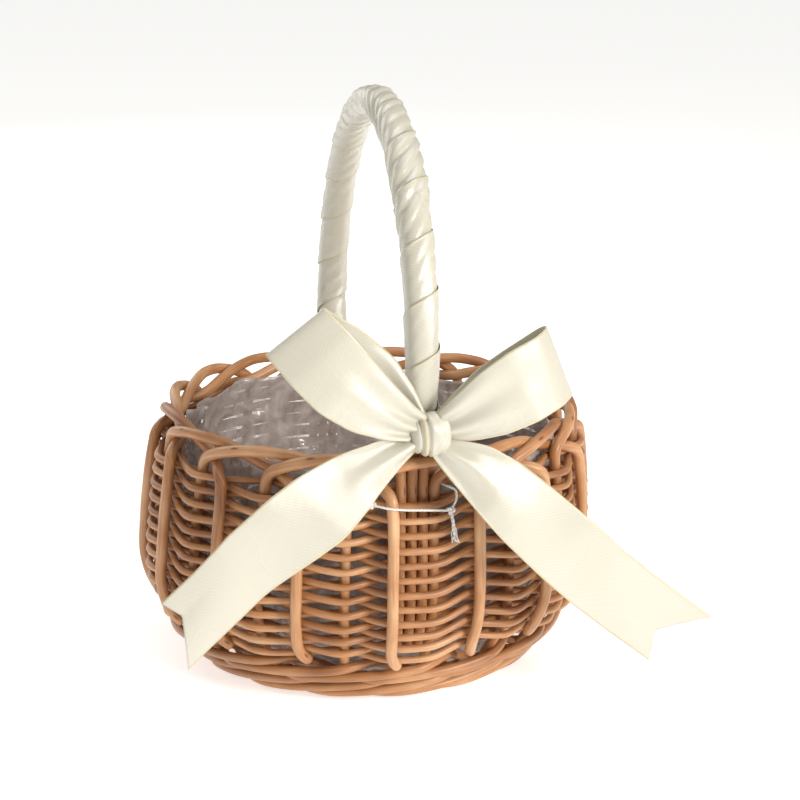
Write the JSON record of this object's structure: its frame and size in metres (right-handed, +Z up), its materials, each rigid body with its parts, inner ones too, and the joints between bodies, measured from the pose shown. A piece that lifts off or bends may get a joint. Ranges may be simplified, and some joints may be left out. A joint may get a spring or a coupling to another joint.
{
  "type": "flower girl basket",
  "caption": "Small oval willow basket with a fixed arched handle bound in satin ribbon, a satin bow at the handle's foot, and a clear film liner tied in with string.",
  "frame": {"origin": "on the ground at the centre of the woven base", "axes": "+Z up; the bow is at the front, towards -Y; the handle's arch stands in the Y-Z plane; +X is to the right seen from the front"},
  "size_m": [0.2184, 0.2195, 0.247],
  "materials": {
    "willow_rods": "buff willow, peeled and boiled, rubbed smooth, semi-matt",
    "willow_weave": "buff willow weaving rods, semi-matt",
    "satin_ribbon": "ivory polyester satin, soft sheen along the length",
    "clear_film": "clear plastic film, glossy, creased",
    "cotton_string": "white twisted cotton string, matt"
  },
  "bodies": {
    "root": {"stake_01": "willow_rods", "stake_02": "willow_rods", "stake_03": "willow_rods", "stake_04": "willow_rods", "stake_05": "willow_rods", "stake_06": "willow_rods", "stake_07": "willow_rods", "stake_08": "willow_rods", "stake_09": "willow_rods", "stake_10": "willow_rods", "stake_11": "willow_rods", "stake_12": "willow_rods", "stake_13": "willow_rods", "stake_14": "willow_rods", "stake_15": "willow_rods", "stake_16": "willow_rods", "weaver_01": "willow_weave", "weaver_02": "willow_weave", "weaver_03": "willow_weave", "weaver_04": "willow_weave", "weaver_05": "willow_weave", "weaver_06": "willow_weave", "weaver_07": "willow_weave", "weaver_08": "willow_weave", "weaver_09": "willow_weave", "weaver_10": "willow_weave", "weaver_11": "willow_weave", "weaver_12": "willow_weave", "weaver_13": "willow_weave", "weaver_14": "willow_weave", "weaver_15": "willow_weave", "weaver_16": "willow_weave", "weaver_17": "willow_weave", "weaver_18": "willow_weave", "weaver_19": "willow_weave", "weaver_20": "willow_weave", "weaver_21": "willow_weave", "weaver_22": "willow_weave", "weaver_23": "willow_weave", "weaver_24": "willow_weave", "foot_wale_1": "willow_weave", "foot_wale_2": "willow_weave", "foot_wale_3": "willow_weave", "base_stick_1": "willow_rods", "base_stick_2": "willow_rods", "base_stick_3": "willow_rods", "base_stick_4": "willow_rods", "base_weave": "willow_weave", "handle_rod_1": "willow_weave", "handle_rod_2": "willow_weave", "handle_rod_3": "willow_weave", "handle_core": "willow_weave", "handle_wrap": "satin_ribbon", "bow_knot": "satin_ribbon", "bow_loop_left": "satin_ribbon", "bow_loop_right": "satin_ribbon", "bow_tail_left": "satin_ribbon", "bow_tail_right": "satin_ribbon", "liner": "clear_film", "liner_tie": "cotton_string"}
  },
  "joints": []
}
